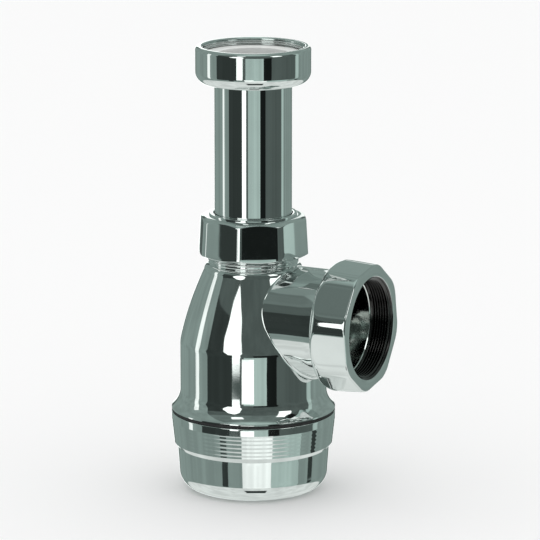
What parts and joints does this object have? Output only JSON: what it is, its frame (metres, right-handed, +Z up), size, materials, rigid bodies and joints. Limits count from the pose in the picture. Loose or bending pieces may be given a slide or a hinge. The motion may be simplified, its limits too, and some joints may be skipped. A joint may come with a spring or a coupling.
{
  "type": "sink trap",
  "caption": "Chrome bottle trap for a basin: screw-off bowl, inner dip tube, side outlet with threaded collar, and a vertical inlet tube with compression and coupling nuts.",
  "frame": {"origin": "centre of the flat underside of the bowl, on the trap's vertical axis", "axes": "+Z up along the inlet tube, +X out of the side outlet, +Y to the left of someone looking along +X"},
  "size_m": [0.0882, 0.0682, 0.1866],
  "materials": {
    "chrome_plate": "polished chrome plate on brass",
    "black_rubber": "matt moulded rubber",
    "white_nylon": "satin moulded nylon"
  },
  "bodies": {
    "trap": {"trap_body": "chrome_plate", "dip_tube": "chrome_plate"},
    "gasket": {"bowl_gasket": "black_rubber"},
    "bowl": {"bowl": "chrome_plate"},
    "slip_ring": {"slip_ring": "white_nylon"},
    "compression_nut": {"compression_nut": "chrome_plate"},
    "cone_seal": {"cone_seal": "black_rubber"},
    "inlet_tube": {"inlet_tube": "chrome_plate"},
    "washer": {"inlet_washer": "white_nylon"},
    "coupling_nut": {"coupling_nut": "chrome_plate"}
  },
  "joints": [
    {"name": "bowl_lower", "type": "slide", "parent": "trap", "child": "gasket", "axis": [0, 0, -1], "range_m": [0, 0.009]},
    {"name": "bowl_unscrew", "type": "hinge", "parent": "gasket", "child": "bowl", "pos_m": [0, 0, 0.0165], "axis": [0, 0, -1], "range_deg": [0, 1080]},
    {"name": "compression_lift", "type": "slide", "parent": "trap", "child": "slip_ring", "axis": [0, 0, 1], "range_m": [0, 0.006]},
    {"name": "compression_unscrew", "type": "hinge", "parent": "slip_ring", "child": "compression_nut", "pos_m": [0, 0, 0.1075], "axis": [0, 0, 1], "range_deg": [0, 1440]},
    {"name": "tube_swivel", "type": "hinge", "parent": "trap", "child": "cone_seal", "pos_m": [0, 0, 0.108], "axis": [0, 0, 1], "continuous": true},
    {"name": "tube_slide", "type": "slide", "parent": "cone_seal", "child": "inlet_tube", "axis": [0, 0, 1], "range_m": [-0.043, 0.025]},
    {"name": "coupling_spin", "type": "hinge", "parent": "inlet_tube", "child": "washer", "pos_m": [0, 0, 0.182], "axis": [0, 0, 1], "continuous": true},
    {"name": "coupling_lift", "type": "slide", "parent": "washer", "child": "coupling_nut", "axis": [0, 0, 1], "range_m": [0, 0.0046]}
  ],
  "couplings": [
    {"joint": "bowl_lower", "follows": "bowl_unscrew", "m_per_rad": 0.00047746},
    {"joint": "compression_lift", "follows": "compression_unscrew", "m_per_rad": 0.00023873}
  ]
}
